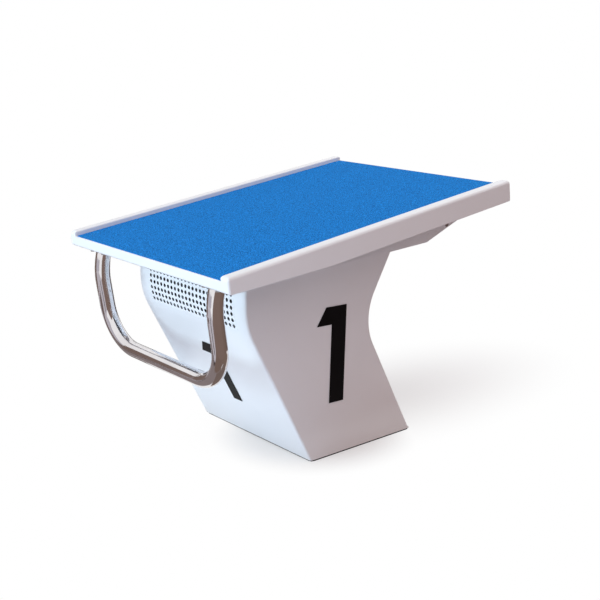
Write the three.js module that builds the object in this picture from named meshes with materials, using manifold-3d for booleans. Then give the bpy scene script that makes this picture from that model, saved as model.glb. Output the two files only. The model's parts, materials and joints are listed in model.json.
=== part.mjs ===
// Swimming starting block: a sloping deck on a chevron pedestal, with a grab bar under its front edge.
// Millimetres, +Z up. -Y points to the water and +X is the right-hand side seen from the water.
// The origin is the middle of the foot, on the pool deck.
import * as THREE from 'three';
import { mergeGeometries, mergeVertices } from 'three/addons/utils/BufferGeometryUtils.js';
import Module from 'manifold-3d';

const wasm = await Module();
wasm.setup();

const degree = Math.PI / 180;
const quarterTurn = Math.PI / 2;
const halfTurn = Math.PI;
const fullTurn = 2 * Math.PI;

// Fits and cutters
const seatGap = 0.3;
const boltClearance = 0.5;
const overrun = 20;

// Deck tray, a moulded shell with raised side rims and turned-down flanges
const deckWidth = 600;
const deckLength = 808;
const deckSlope = 7.6 * degree;
const deckFrontHeight = 467.9;
const deckFrontReach = 445;
const skinThickness = 5;
const rimWidth = 23.6;
const rimRise = 10;
const rimOuterRadius = 9;
const rimInnerRadius = 3;
const rimNoseRadius = 10;
const rimTailRadius = 9;
const trayCornerRadius = 6;
const frontFlangeDrop = 24;
const sideFlangeDrop = 38.3;
const flangeTaperLength = 255;
const endLipWidth = 4;
const endLipDrop = 0.8;

// Anti-slip mat, laid in the recess of the tray
const matThickness = 3.5;
const matBevel = 0.8;
const matCornerRadius = 4;

// Core board, bonded under the tray's skin to stiffen it and to hold the inserts
const coreThickness = 12;
const coreInset = 5;

// Cradle, the folded steel box between the deck and the pedestal
const cradlePlate = 4;
const cradleFlangeShare = 0.5;
const cradleFrontSetback = 3;
const cradleEdgeHeight = 436.6;
const cradleEdgeSlope = 3.1 * degree;
const cradleBendShare = 0.4955;
const cradleTailSetback = 55.7;
const cradleTailSlope = 21.2 * degree;
const cradleSkirt = 6;
const ribOpeningShares = [0.44, 0.93];
const sightHoleDiameter = 9;
const sightHoleRise = 8.5;
const sightHoleShare = 0.579;

// Pedestal shell, a moulded chevron open at its top and foot
const pedestalWidth = 397;
const footDepth = 307.5;
const frontFaceReach = 329;
const frontLean = 27.35 * degree;
const frontBendRadius = 160;
const rearFootLean = 27.8 * degree;
const rearUpperLean = 29.6 * degree;
const rearWaistRadius = 126;
const rearWaistHeight = 296.3;
const shellWall = 5;
const shellEdgeRadius = 8;
const shellFlangeWidth = 30;
const toeReach = 3.5;
const toeHeight = 8;
const toeCurveShares = [[0, 1], [0.35, 0.55], [0.7, 0.18], [1, 0]];

// Grille panel, a perforated sheet let flush into the front of the shell
const holeColumns = 23;
const holeRows = 6;
const holePitch = 13.63;
const holeDiameter = 8.4;
const holeSides = 6;
const topRowDepth = 20.4;
const grilleMargin = 9;
const grilleThickness = 2;
const grilleGap = 0.6;
const grilleLedge = 4.5;

// Grab bar, one bent stainless tube on two bolted plates
const barDiameter = 33.7;
const barWall = 2;
const legSpreadShare = 0.7159;
const barHeight = 227.7;
const barReach = 393;
const legLean = 8 * degree;
const shoulderHeight = 369.5;
const shoulderRadius = 167;
const shoulderLean = 17.26 * degree;
const barBendRadius = 90.5;
const legStub = 40;
const grabPlateWidth = 64;
const grabPlateSetback = 11;
const grabPlateLength = 82;
const grabPlateThickness = 6;
const grabPlateCorner = 8;
const grabBoltInset = 9;

// Base plate and the rubber seal under it
const sealThickness = 3;
const sealInset = 1;
const basePlateThickness = 8;
const basePlateClearance = 3;

// Side frames, folded steel plates that carry the load inside the shell
const frameWidth = 240;
const frameThickness = 6;
const frameFlangeWidth = 45;
const frameInset = 36;
const lighteningDiameter = 64;
const lighteningHeightShares = [0.27, 0.46, 0.78];

// Round ties welded between the side frames
const tieDiameter = 30;
const tieHeightShares = [0.12, 0.62, 0.93];

// Anchor pattern in the pool deck
const anchorSpacingX = 190;
const anchorSpacingY = 150;
const anchorStudRise = 62;

// Fasteners
const deckBolt = { shank: 8, flats: 13, head: 5.3, nut: 6.5 };
const saddleBolt = { shank: 12, flats: 19, head: 7.5, nut: 10 };
const anchorBolt = { shank: 16, flats: 24, nut: 16, flange: 34, flangeThickness: 4 };
const boltSides = 8;
const insertDepth = 10;
const cheekBoltShares = [0.08, 0.46, 0.86];
const shellBoltShares = [0.22, 0.8];
const frameBoltShares = [0.22, 0.8];

// Race number, a plain upright one cut from thin vinyl board: outline points as shares of its height
const digitThickness = 1;
const digitShares = [[-0.094, 0], [0.094, 0], [0.094, 1], [-0.173, 1], [-0.286, 0.818], [-0.094, 0.818]];
const sideDigitHeight = 218;
const sideDigitReach = -83.2;
const sideDigitFoot = 125;
const sideDigitTurn = 1.9 * degree;
const slopeDigitHeight = 164.5;
const slopeDigitFoot = 119;
const slopeDigitShift = 8.7;
const rearDigitFoot = 40;

// Facets of the round stretches
const cornerSteps = 4;
const smallCornerSteps = 2;
const waistSteps = 6;
const bendRemainderSteps = 2;
const shoulderSteps = 5;
const barBendSteps = 9;
const barSides = 16;
const barBoreSides = 8;
const ringSides = 16;

// Places worked out from the driving dimensions
const deckHalf = deckWidth / 2;
const recessHalf = deckHalf - rimWidth;
const recessFloor = -matThickness - seatGap;
const skinUnderside = recessFloor - skinThickness;
const coreTop = skinUnderside - seatGap;
const coreUnderside = coreTop - coreThickness;
const coreSeat = coreUnderside - seatGap;
const pedestalHalf = pedestalWidth / 2;
const footFront = -footDepth / 2;
const footRear = footDepth / 2;
const crossHalf = pedestalHalf;
const cheekInner = crossHalf + seatGap;
const cradleHalf = cheekInner + cradlePlate;
const cradleFlangeWidth = (deckHalf - skinThickness - cradleHalf) * cradleFlangeShare;
const cradleFrontY = cradleFrontSetback - frontFaceReach;
const waistY = footRear - rearWaistHeight * Math.tan(rearFootLean);
const rearTopY = waistY + (cradleEdgeHeight - rearWaistHeight) * Math.tan(rearUpperLean);
const cradleTailReach = deckLength * Math.cos(deckSlope) - deckFrontReach - cradleTailSetback;
const cradleBendReach = THREE.MathUtils.lerp(rearTopY, cradleTailReach, cradleBendShare);
const shellFoot = sealThickness + seatGap;
const basePlateFoot = shellFoot + shellWall + seatGap;
const basePlateTop = basePlateFoot + basePlateThickness;
const frameFoot = basePlateTop + seatGap;
const frameHalf = frameWidth / 2;
const legX = deckHalf * legSpreadShare;

// The deck's own frame: x across, y up the slope from the front edge, z square to the standing surface
const deckMatrix = new THREE.Matrix4()
  .makeRotationX(deckSlope)
  .setPosition(0, -deckFrontReach, deckFrontHeight);

// Height of a plane parallel to the standing surface, at the given level square to it
function deckPlaneHeight(y, level) {
  return deckFrontHeight + (y + deckFrontReach) * Math.tan(deckSlope) + level / Math.cos(deckSlope);
}

// Lower edge of the cradle's cheeks, over the pedestal
function cradleEdgeZ(y) {
  return cradleEdgeHeight + y * Math.tan(cradleEdgeSlope);
}

// Underside of the cradle's pan, which the pedestal and the side frames are bolted to
function panUnderside(y) {
  return cradleEdgeZ(y) + cradleSkirt / Math.cos(cradleEdgeSlope);
}

// Solids and geometries

function toSolid(geometry) {
  const bare = geometry.clone();
  bare.deleteAttribute('normal');
  bare.deleteAttribute('uv');
  const welded = mergeVertices(bare);
  return new wasm.Manifold(new wasm.Mesh({
    numProp: 3,
    vertProperties: Float32Array.from(welded.attributes.position.array),
    triVerts: Uint32Array.from(welded.index.array),
  }));
}

function toGeometry(solid) {
  const { vertProperties, triVerts } = solid.getMesh();
  const geometry = new THREE.BufferGeometry();
  geometry.setAttribute('position', new THREE.BufferAttribute(vertProperties, 3));
  geometry.setIndex(new THREE.BufferAttribute(triVerts, 1));
  geometry.computeVertexNormals();
  return geometry;
}

function cut(geometry, ...cutters) {
  return toGeometry(cutters.reduce((solid, cutter) => solid.subtract(toSolid(cutter)), toSolid(geometry)));
}

function join(...geometries) {
  const [first, ...rest] = geometries.map(toSolid);
  return toGeometry(rest.reduce((solid, next) => solid.add(next), first));
}

function common(...geometries) {
  const [first, ...rest] = geometries.map(toSolid);
  return toGeometry(rest.reduce((solid, next) => solid.intersect(next), first));
}

// Separate solids that share one node
function together(geometries) {
  const bare = geometries.map((geometry) => {
    const copy = geometry.index ? geometry.toNonIndexed() : geometry.clone();
    copy.deleteAttribute('normal');
    copy.deleteAttribute('uv');
    return copy;
  });
  return mergeVertices(mergeGeometries(bare));
}

// Outlines

function extruded(points, depth) {
  const shape = new THREE.Shape(points.map(([a, b]) => new THREE.Vector2(a, b)));
  return new THREE.ExtrudeGeometry(shape, { depth, bevelEnabled: false });
}

// An outline in y and z, extruded along x from one place to another
function acrossX(points, fromX, toX) {
  const axes = new THREE.Matrix4().makeBasis(
    new THREE.Vector3(0, 1, 0), new THREE.Vector3(0, 0, 1), new THREE.Vector3(1, 0, 0));
  return extruded(points, toX - fromX).applyMatrix4(axes).translate(fromX, 0, 0);
}

// An outline in x and z, extruded along y from one place to another
function alongY(points, fromY, toY) {
  const axes = new THREE.Matrix4().makeBasis(
    new THREE.Vector3(1, 0, 0), new THREE.Vector3(0, 0, 1), new THREE.Vector3(0, -1, 0));
  return extruded(points, toY - fromY).applyMatrix4(axes).translate(0, toY, 0);
}

// An outline in x and y, extruded up z from one place to another
function upZ(points, fromZ, toZ) {
  return extruded(points, toZ - fromZ).translate(0, 0, fromZ);
}

function box(fromX, toX, fromY, toY, fromZ, toZ) {
  return new THREE.BoxGeometry(toX - fromX, toY - fromY, toZ - fromZ)
    .translate((fromX + toX) / 2, (fromY + toY) / 2, (fromZ + toZ) / 2);
}

// A line of points [a, b, radius]: a corner with a radius becomes an arc of equal steps
function rounded(points, steps, closed = true) {
  return points.flatMap(([a, b, radius], i) => {
    if (!radius || (!closed && (i === 0 || i === points.length - 1))) return [[a, b]];
    const corner = new THREE.Vector2(a, b);
    const back = new THREE.Vector2(...points.at(i - 1)).sub(corner).normalize();
    const ahead = new THREE.Vector2(...points[(i + 1) % points.length]).sub(corner).normalize();
    const halfAngle = Math.acos(THREE.MathUtils.clamp(back.dot(ahead), -1, 1)) / 2;
    const middle = back.clone().add(ahead).normalize();
    const centre = corner.clone().addScaledVector(middle, radius / Math.sin(halfAngle));
    const start = corner.clone().addScaledVector(back, radius / Math.tan(halfAngle)).sub(centre);
    const turn = Math.sign(back.cross(ahead)) * (2 * halfAngle - Math.PI);
    return Array.from({ length: steps + 1 }, (_, step) => {
      const spoke = start.clone().rotateAround(new THREE.Vector2(), turn * step / steps).add(centre);
      return [spoke.x, spoke.y];
    });
  });
}

// A line moved sideways, to its left when the distance is positive, with mitred corners
function offsetLine(points, distance) {
  const normals = points.slice(1).map(([a, b], i) => {
    const run = new THREE.Vector2(a - points[i][0], b - points[i][1]).normalize();
    return new THREE.Vector2(-run.y, run.x);
  });
  return points.map(([a, b], i) => {
    const before = normals[Math.max(i - 1, 0)];
    const after = normals[Math.min(i, normals.length - 1)];
    const mitre = before.clone().add(after).normalize();
    const reach = distance / mitre.dot(before);
    return [a + mitre.x * reach, b + mitre.y * reach];
  });
}

// The outline of a sheet between two offsets of one line
function sheetOutline(line, fromOffset, toOffset) {
  return [...offsetLine(line, fromOffset), ...offsetLine(line, toOffset).reverse()];
}

function roundedRectangle(halfX, fromY, toY, radius, steps) {
  return rounded([[-halfX, fromY, radius], [halfX, fromY, radius], [halfX, toY, radius],
    [-halfX, toY, radius]], steps);
}

// A skin over level rings with as many points each, closed at both ends
function loft(rings) {
  const count = rings[0].length;
  const index = [];
  rings.slice(1).forEach((_, k) => {
    for (let i = 0; i < count; i += 1) {
      const next = (i + 1) % count;
      const [a, b, c, d] = [k * count + i, k * count + next, (k + 1) * count + next, (k + 1) * count + i];
      index.push(a, b, c, a, c, d);
    }
  });
  const last = (rings.length - 1) * count;
  for (let i = 1; i < count - 1; i += 1) {
    index.push(0, i + 1, i);
    index.push(last, last + i, last + i + 1);
  }
  const geometry = new THREE.BufferGeometry();
  geometry.setAttribute('position', new THREE.Float32BufferAttribute(rings.flat(2), 3));
  geometry.setIndex(index);
  return geometry;
}

// Fasteners, standing on z = 0 with the head or nut above it

function rod(diameter, fromZ, toZ, sides = boltSides) {
  return new THREE.CylinderGeometry(diameter / 2, diameter / 2, toZ - fromZ, sides)
    .rotateX(quarterTurn).translate(0, 0, (fromZ + toZ) / 2);
}

function hexagon(flats, fromZ, toZ) {
  return rod(flats / Math.cos(fullTurn / 12), fromZ, toZ, 6);
}

function bolt({ shank, flats, head }, length) {
  return join(hexagon(flats, 0, head), rod(shank, -length, head / 2));
}

function nut({ shank, flats, nut: height }) {
  return cut(hexagon(flats, 0, height), rod(shank + 2 * seatGap, -overrun, height + overrun));
}

function boreFor({ shank }, fromZ, toZ) {
  return rod(shank + 2 * boltClearance, fromZ, toZ);
}

function placed(geometry, x, y, z) {
  return geometry.clone().translate(x, y, z);
}

// Faces of the pedestal, as lines in y and z that run down from the top

const bendVertexHeight = (frontFaceReach + footFront) / Math.tan(frontLean);
const bendStartHeight = bendVertexHeight + frontBendRadius * Math.tan(frontLean / 2);
const bendLength = frontBendRadius * frontLean;
const shellTop = panUnderside(footRear);
const slopeLength = bendVertexHeight / Math.cos(frontLean) - frontBendRadius * Math.tan(frontLean / 2);

// A point of the true front face, by its distance down the face from where the bend starts
function frontPoint(run) {
  const turned = THREE.MathUtils.clamp(run / frontBendRadius, 0, frontLean);
  const below = Math.max(run - bendLength, 0);
  const above = Math.min(run, 0);
  return {
    y: -frontFaceReach + frontBendRadius * (1 - Math.cos(turned)) + below * Math.sin(frontLean),
    z: bendStartHeight - above - frontBendRadius * Math.sin(turned) - below * Math.cos(frontLean),
    tilt: turned,
  };
}

const topRowRun = bendStartHeight - cradleEdgeZ(-frontFaceReach) + topRowDepth;
const rowRuns = Array.from({ length: holeRows }, (_, row) => topRowRun + row * holePitch);
const panelTopRun = rowRuns[0] - grilleMargin;
const panelFootRun = rowRuns.at(-1) + grilleMargin;

// The face is faceted halfway between the rows of holes, so each row lies on one flat facet
const frontRuns = [
  bendStartHeight - shellTop,
  panelTopRun - grilleGap,
  ...rowRuns.slice(1).map((run) => run - holePitch / 2),
  panelFootRun + grilleGap,
  ...Array.from({ length: bendRemainderSteps }, (_, i) => THREE.MathUtils.lerp(
    panelFootRun + grilleGap, Math.max(bendLength, panelFootRun + holePitch), (i + 1) / bendRemainderSteps)),
  bendLength + slopeLength,
];
const frontLine = frontRuns.map((run) => [frontPoint(run).y, frontPoint(run).z]);

// A stretch of the faceted front face between two distances down it
function frontStretch(fromRun, toRun) {
  const at = (run) => {
    const i = Math.max(frontRuns.findIndex((station) => station >= run), 1);
    const share = (run - frontRuns[i - 1]) / (frontRuns[i] - frontRuns[i - 1]);
    return [0, 1].map((axis) => THREE.MathUtils.lerp(frontLine[i - 1][axis], frontLine[i][axis], share));
  };
  const inside = frontLine.filter((_, i) => frontRuns[i] > fromRun && frontRuns[i] < toRun);
  return [at(fromRun), ...inside, at(toRun)];
}

const rearLine = rounded([
  [waistY + (shellTop - rearWaistHeight) * Math.tan(rearUpperLean), shellTop],
  [waistY, rearWaistHeight, rearWaistRadius],
  [footRear, 0],
], waistSteps, false);

// The y of a line that runs down, at one height, on its first or last stretch where it ends short
function lineAt(line, z) {
  const below = line.findIndex((point) => point[1] <= z);
  const i = below < 0 ? line.length - 1 : Math.max(below, 1);
  const share = (z - line[i - 1][1]) / (line[i][1] - line[i - 1][1]);
  return THREE.MathUtils.lerp(line[i - 1][0], line[i][0], share);
}

// Level rings of the pedestal between two offsets of its faces, from the foot up to the top
function pedestalRings(inset, radius, steps, fromZ) {
  const front = offsetLine(frontLine, inset);
  const rear = offsetLine(rearLine, -inset);
  const top = shellTop + overrun;
  const toe = toeCurveShares.map(([height]) => shellFoot + height * toeHeight);
  const inner = [...front, ...rear, ...toe.map((z) => [0, z])]
    .map(([, z]) => z)
    .filter((z) => z > fromZ + seatGap && z < top - seatGap);
  const levels = [fromZ, ...new Set(inner.sort((a, b) => a - b)), top];
  return levels.map((z) => {
    const share = (z - shellFoot) / toeHeight;
    const next = toeCurveShares.findIndex(([height]) => height >= share);
    const [before, after] = [toeCurveShares[Math.max(next - 1, 0)], toeCurveShares[Math.max(next, 0)]];
    const blend = after[0] > before[0] ? (share - before[0]) / (after[0] - before[0]) : 0;
    const flare = next < 0 || inset > 0 ? 0 : THREE.MathUtils.lerp(before[1], after[1], blend) * toeReach;
    return roundedRectangle(pedestalHalf - inset, lineAt(front, z), lineAt(rear, z) + flare, radius, steps)
      .map(([x, y]) => [x, y, z]);
  });
}

// Everything above the plane that the pedestal's top and the side frames seat against
function aboveJoint(gap) {
  const reach = deckLength;
  const seat = (y) => panUnderside(y) - gap;
  return acrossX([[-reach, seat(-reach)], [reach, seat(reach)], [reach, reach], [-reach, reach]],
    -deckHalf, deckHalf);
}

// Places of the fasteners

const jointTilt = new THREE.Matrix4().makeRotationX(cradleEdgeSlope);

// A cutter square to the pan, with its origin on the pan's underside
function onJoint(geometry, x, y) {
  return geometry.clone().applyMatrix4(jointTilt).translate(x, y, panUnderside(y));
}

const shellOpeningFront = -frontFaceReach + shellWall;
const shellOpeningRear = lineAt(offsetLine(rearLine, -shellWall), panUnderside(0));
const shellBoltX = pedestalHalf - shellWall - shellFlangeWidth / 2;
const shellBoltPlaces = [-1, 1].flatMap((side) => shellBoltShares.map((share) => [
  side * shellBoltX, THREE.MathUtils.lerp(shellOpeningFront, shellOpeningRear, share)]));
const frameBoltX = frameHalf - frameThickness - (frameFlangeWidth - frameThickness) / 2;
const frameBoltPlaces = [-1, 1].flatMap((side) => frameBoltShares.map((share) => [
  side * frameBoltX, THREE.MathUtils.lerp(shellOpeningFront, shellOpeningRear, share)]));
const anchorPlaces = [-1, 1].flatMap((sideX) => [-1, 1].map((sideY) => [
  sideX * anchorSpacingX / 2, sideY * anchorSpacingY / 2]));

// The deck's frame, for places on the underside of the core board
function toDeck(y, z) {
  const local = new THREE.Vector3(0, y, z).applyMatrix4(deckMatrix.clone().invert());
  return [local.y, local.z];
}

const cheekFrontRun = toDeck(cradleFrontY, deckPlaneHeight(cradleFrontY, coreSeat))[0];
const cheekTailRun = toDeck(cradleTailReach, deckPlaneHeight(cradleTailReach, coreSeat))[0];
const cheekBoltX = cradleHalf + cradleFlangeWidth / 2;
const cheekBoltPlaces = [-1, 1].flatMap((side) => cheekBoltShares.map((share) => [
  side * cheekBoltX, THREE.MathUtils.lerp(cheekFrontRun, cheekTailRun, share)]));

// Grab bar centre line, down the right leg to the middle of the bar

function legDirection(lean) {
  return new THREE.Vector3(0, Math.sin(lean), -Math.cos(lean));
}

const across = new THREE.Vector3(1, 0, 0);
const barCorner = new THREE.Vector3(legX, -barReach, barHeight);
const legDown = legDirection(legLean);
const shoulderFoot = barCorner.clone()
  .addScaledVector(legDown, -(shoulderHeight - barHeight) / Math.cos(legLean));
const shoulderCentre = shoulderFoot.clone()
  .add(new THREE.Vector3(0, Math.cos(legLean), Math.sin(legLean)).multiplyScalar(shoulderRadius));

function shoulderStation(lean) {
  const spoke = new THREE.Vector3(0, -Math.cos(lean), -Math.sin(lean)).multiplyScalar(shoulderRadius);
  return { point: shoulderCentre.clone().add(spoke), tangent: legDirection(lean) };
}

function bendStation(angle) {
  const centre = barCorner.clone().addScaledVector(legDown, -barBendRadius)
    .addScaledVector(across, -barBendRadius);
  const spoke = across.clone().multiplyScalar(Math.cos(angle)).addScaledVector(legDown, Math.sin(angle));
  return {
    point: centre.addScaledVector(spoke, barBendRadius),
    tangent: across.clone().multiplyScalar(-Math.sin(angle)).addScaledVector(legDown, Math.cos(angle)),
  };
}

const shoulderTop = shoulderStation(-shoulderLean);
const stubTop = {
  point: shoulderTop.point.clone().addScaledVector(shoulderTop.tangent, -legStub),
  tangent: shoulderTop.tangent,
};
const rightStations = [
  stubTop,
  ...Array.from({ length: shoulderSteps + 1 }, (_, i) => shoulderStation(
    THREE.MathUtils.lerp(-shoulderLean, legLean, i / shoulderSteps))),
  ...Array.from({ length: barBendSteps + 1 }, (_, i) => bendStation(quarterTurn * i / barBendSteps)),
];
const leftStations = rightStations.map(({ point, tangent }) => ({
  point: new THREE.Vector3(-point.x, point.y, point.z),
  tangent: new THREE.Vector3(tangent.x, -tangent.y, -tangent.z),
})).reverse();

// A path with a cross-section at each of its stations and nowhere else
class StationPath extends THREE.Curve {
  constructor(stations) {
    super();
    this.stations = stations;
  }

  station(share) {
    return this.stations[Math.round(share * (this.stations.length - 1))];
  }

  getPointAt(share) {
    return this.station(share).point.clone();
  }

  getTangentAt(share) {
    return this.station(share).tangent.clone();
  }
}

const grabPlateUnderside = coreSeat - grabPlateThickness;
const grabPlateTail = grabPlateSetback + grabPlateLength;
const grabBoltPlaces = [-1, 1].flatMap((side) => [-1, 1].flatMap((sideX) => (
  [grabPlateSetback + grabBoltInset, grabPlateTail - grabBoltInset].map((run) => [
    side * legX + sideX * (grabPlateWidth / 2 - grabBoltInset), run]))));

// Deck pieces, in the deck's own frame

function trayOutside() {
  const crossSection = rounded([
    [-deckHalf, -sideFlangeDrop],
    [-deckHalf, rimRise, rimOuterRadius],
    [-recessHalf, rimRise, rimInnerRadius],
    [-recessHalf, -endLipDrop],
    [recessHalf, -endLipDrop],
    [recessHalf, rimRise, rimInnerRadius],
    [deckHalf, rimRise, rimOuterRadius],
    [deckHalf, -sideFlangeDrop],
  ], cornerSteps);
  const sideView = rounded([
    [0, -frontFlangeDrop],
    [flangeTaperLength, -sideFlangeDrop],
    [deckLength, -sideFlangeDrop],
    [deckLength, rimRise, rimTailRadius],
    [0, rimRise, rimNoseRadius],
  ], cornerSteps);
  const plan = roundedRectangle(deckHalf, 0, deckLength, trayCornerRadius, cornerSteps);
  return common(
    alongY(crossSection, 0, deckLength),
    acrossX(sideView, -deckHalf, deckHalf),
    upZ(plan, -sideFlangeDrop, rimRise));
}

function deckTray() {
  const matRecess = box(-recessHalf, recessHalf, endLipWidth, deckLength - endLipWidth, recessFloor,
    rimRise + overrun);
  const innerHalf = deckHalf - skinThickness;
  const channelHalf = recessHalf + skinThickness;
  const channelTop = rimRise - skinThickness;
  const cavity = alongY([
    [-innerHalf, -sideFlangeDrop - overrun],
    [-innerHalf, channelTop],
    [-channelHalf, channelTop],
    [-channelHalf, skinUnderside],
    [channelHalf, skinUnderside],
    [channelHalf, channelTop],
    [innerHalf, channelTop],
    [innerHalf, -sideFlangeDrop - overrun],
  ], skinThickness, deckLength - skinThickness);
  return cut(trayOutside(), matRecess, cavity);
}

function antiSlipMat() {
  const half = recessHalf - seatGap - matBevel;
  const inset = endLipWidth + seatGap + matBevel;
  const outline = roundedRectangle(half, inset, deckLength - inset, matCornerRadius, smallCornerSteps);
  const shape = new THREE.Shape(outline.map(([x, y]) => new THREE.Vector2(x, y)));
  return new THREE.ExtrudeGeometry(shape, {
    depth: matThickness - 2 * matBevel,
    bevelEnabled: true,
    bevelSize: matBevel,
    bevelThickness: matBevel,
    bevelSegments: 1,
  }).translate(0, 0, matBevel - matThickness);
}

function coreBoard() {
  const half = deckHalf - skinThickness - coreInset;
  const inset = skinThickness + coreInset;
  const board = box(-half, half, inset, deckLength - inset, coreUnderside, coreTop);
  const inserts = [...cheekBoltPlaces, ...grabBoltPlaces].map(([x, run]) => placed(
    boreFor(deckBolt, -overrun, insertDepth), x, run, coreUnderside));
  return cut(board, together(inserts));
}

// A bolt that goes up into the core board through a plate of the given thickness
function upwardBolt(plateThickness) {
  return bolt(deckBolt, plateThickness + 2 * seatGap + insertDepth - boltClearance).rotateX(halfTurn);
}

function grabPlate(side) {
  const outline = roundedRectangle(grabPlateWidth / 2, grabPlateSetback, grabPlateTail,
    grabPlateCorner, smallCornerSteps).map(([x, y]) => [x + side * legX, y]);
  const bores = grabBoltPlaces.filter(([x]) => x * side > 0).map(([x, run]) => placed(
    boreFor(deckBolt, -overrun, overrun), x, run, coreSeat));
  return cut(upZ(outline, grabPlateUnderside, coreSeat), together(bores));
}

// Grab bar

function grabBar() {
  const path = new StationPath([...rightStations, ...leftStations]);
  const ring = new THREE.Shape().absarc(0, 0, barDiameter / 2, 0, fullTurn);
  const bore = new THREE.Path().absarc(0, 0, barDiameter / 2 - barWall, 0, fullTurn);
  const section = new THREE.Shape(ring.getPoints(barSides / 2).slice(0, -1));
  section.holes.push(new THREE.Path(bore.getPoints(barBoreSides / 2).slice(0, -1)));
  const tube = new THREE.ExtrudeGeometry(section, {
    extrudePath: path,
    steps: path.stations.length - 1,
  });
  const abovePlates = box(-deckHalf, deckHalf, 0, deckLength, grabPlateUnderside - seatGap, deckLength)
    .applyMatrix4(deckMatrix);
  return cut(tube, abovePlates);
}

// Cradle

const cheekEdge = (() => {
  const bendZ = cradleEdgeZ(cradleBendReach);
  const tailZ = bendZ + (cradleTailReach - cradleBendReach) * Math.tan(cradleTailSlope);
  return [
    [cradleFrontY, cradleEdgeZ(cradleFrontY)],
    [cradleBendReach, bendZ],
    [cradleTailReach, tailZ],
    [cradleTailReach, deckPlaneHeight(cradleTailReach, coreSeat)],
  ];
})();

function cradleCheek(side) {
  const reach = (near, far) => [side * near, side * far].sort((a, b) => a - b);
  const seatAt = (y) => deckPlaneHeight(y, coreSeat);
  const underFlange = (y) => deckPlaneHeight(y, coreSeat - cradlePlate);
  const web = acrossX([...cheekEdge, [cradleFrontY, seatAt(cradleFrontY)]], ...reach(cheekInner, cradleHalf));
  const flange = acrossX([
    [cradleFrontY, seatAt(cradleFrontY)],
    [cradleTailReach, seatAt(cradleTailReach)],
    [cradleTailReach, underFlange(cradleTailReach)],
    [cradleFrontY, underFlange(cradleFrontY)],
  ], ...reach(cheekInner, cradleHalf + cradleFlangeWidth));
  const bores = cheekBoltPlaces.filter(([x]) => x * side > 0).map(([x, run]) => placed(
    boreFor(deckBolt, -overrun, overrun), x, run, coreSeat).applyMatrix4(deckMatrix));
  const pastBend = (cradleTailReach - cradleBendReach) * sightHoleShare;
  const sightZ = cradleEdgeZ(cradleBendReach) + pastBend * Math.tan(cradleTailSlope) + sightHoleRise;
  const sightHole = rod(sightHoleDiameter, -overrun, overrun, ringSides).rotateY(quarterTurn)
    .translate(side * cheekInner, cradleBendReach + pastBend, sightZ);
  return cut(join(web, flange), together(bores), sightHole);
}

function cradlePan() {
  const outer = offsetLine(cheekEdge, cradleSkirt);
  const frontY = cradleFrontY + cradlePlate + seatGap;
  const [tailY] = outer.at(-1);
  outer[0] = [frontY, panUnderside(frontY)];
  outer[outer.length - 1] = [tailY, deckPlaneHeight(tailY, coreSeat)];
  const pan = acrossX(sheetOutline(outer, 0, cradlePlate), -crossHalf, crossHalf);
  const bores = [
    ...shellBoltPlaces.map(([x, y]) => onJoint(boreFor(deckBolt, -overrun, overrun), x, y)),
    ...frameBoltPlaces.map(([x, y]) => onJoint(boreFor(saddleBolt, -overrun, overrun), x, y)),
  ];
  const aboveSeat = acrossX([-deckLength, deckLength, deckLength, -deckLength].map((y, i) => [
    y, i < 2 ? deckPlaneHeight(y, coreSeat) : 2 * deckLength]), -deckHalf, deckHalf);
  return cut(pan, together(bores), aboveSeat);
}

// A plate across the cradle, upright, from its foot to the underside of the core board
function crossPlate(y, footZ) {
  const rear = y + cradlePlate;
  return acrossX([[y, footZ], [rear, footZ + cradlePlate * Math.tan(cradleEdgeSlope)],
    [rear, deckPlaneHeight(rear, coreSeat)], [y, deckPlaneHeight(y, coreSeat)]], -crossHalf, crossHalf);
}

function cradleRib(share) {
  const y = THREE.MathUtils.lerp(shellOpeningFront, shellOpeningRear, share);
  return crossPlate(y, panUnderside(y) + (cradlePlate + seatGap) / Math.cos(cradleEdgeSlope));
}

// Pedestal shell

function pedestalShell() {
  const outside = loft(pedestalRings(0, shellEdgeRadius, cornerSteps, shellFoot));
  const hollow = loft(pedestalRings(shellWall, shellEdgeRadius - shellWall, smallCornerSteps,
    shellFoot + shellWall));
  const throat = loft(pedestalRings(shellWall + shellFlangeWidth, shellWall, smallCornerSteps,
    shellFoot - overrun));
  const underFlange = cut(hollow, aboveJoint(seatGap + shellWall));
  const rebate = acrossX(
    sheetOutline(frontStretch(panelTopRun - grilleGap, panelFootRun + grilleGap), -overrun,
      grilleThickness + seatGap),
    -grilleHalf - grilleGap, grilleHalf + grilleGap);
  const window = acrossX(
    sheetOutline(frontStretch(panelTopRun + grilleLedge, panelFootRun - grilleLedge), -overrun,
      shellWall + overrun),
    grilleLedge - grilleHalf, grilleHalf - grilleLedge);
  const bores = shellBoltPlaces.map(([x, y]) => onJoint(boreFor(deckBolt, -overrun, overrun), x, y));
  return cut(outside, underFlange, throat, aboveJoint(seatGap), rebate, window, together(bores));
}

// Grille panel

const grilleHalf = (holeColumns - 1) / 2 * holePitch + grilleMargin;

function grillePanel() {
  const sheet = acrossX(sheetOutline(frontStretch(panelTopRun, panelFootRun), 0, grilleThickness),
    -grilleHalf, grilleHalf);
  const holes = rowRuns.flatMap((run) => {
    const { y, z, tilt } = frontPoint(run);
    const punch = new THREE.CylinderGeometry(holeDiameter / 2, holeDiameter / 2, overrun, holeSides)
      .rotateX(tilt).translate(0, y, z);
    return Array.from({ length: holeColumns }, (_, column) => placed(
      punch, (column - (holeColumns - 1) / 2) * holePitch, 0, 0));
  });
  return cut(sheet, together(holes));
}

// Side frames and their ties

const frameLines = {
  front: offsetLine(frontLine, shellWall + frameInset),
  rear: offsetLine(rearLine, -shellWall - frameInset),
};
const frameHead = panUnderside(0) - seatGap;

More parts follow.
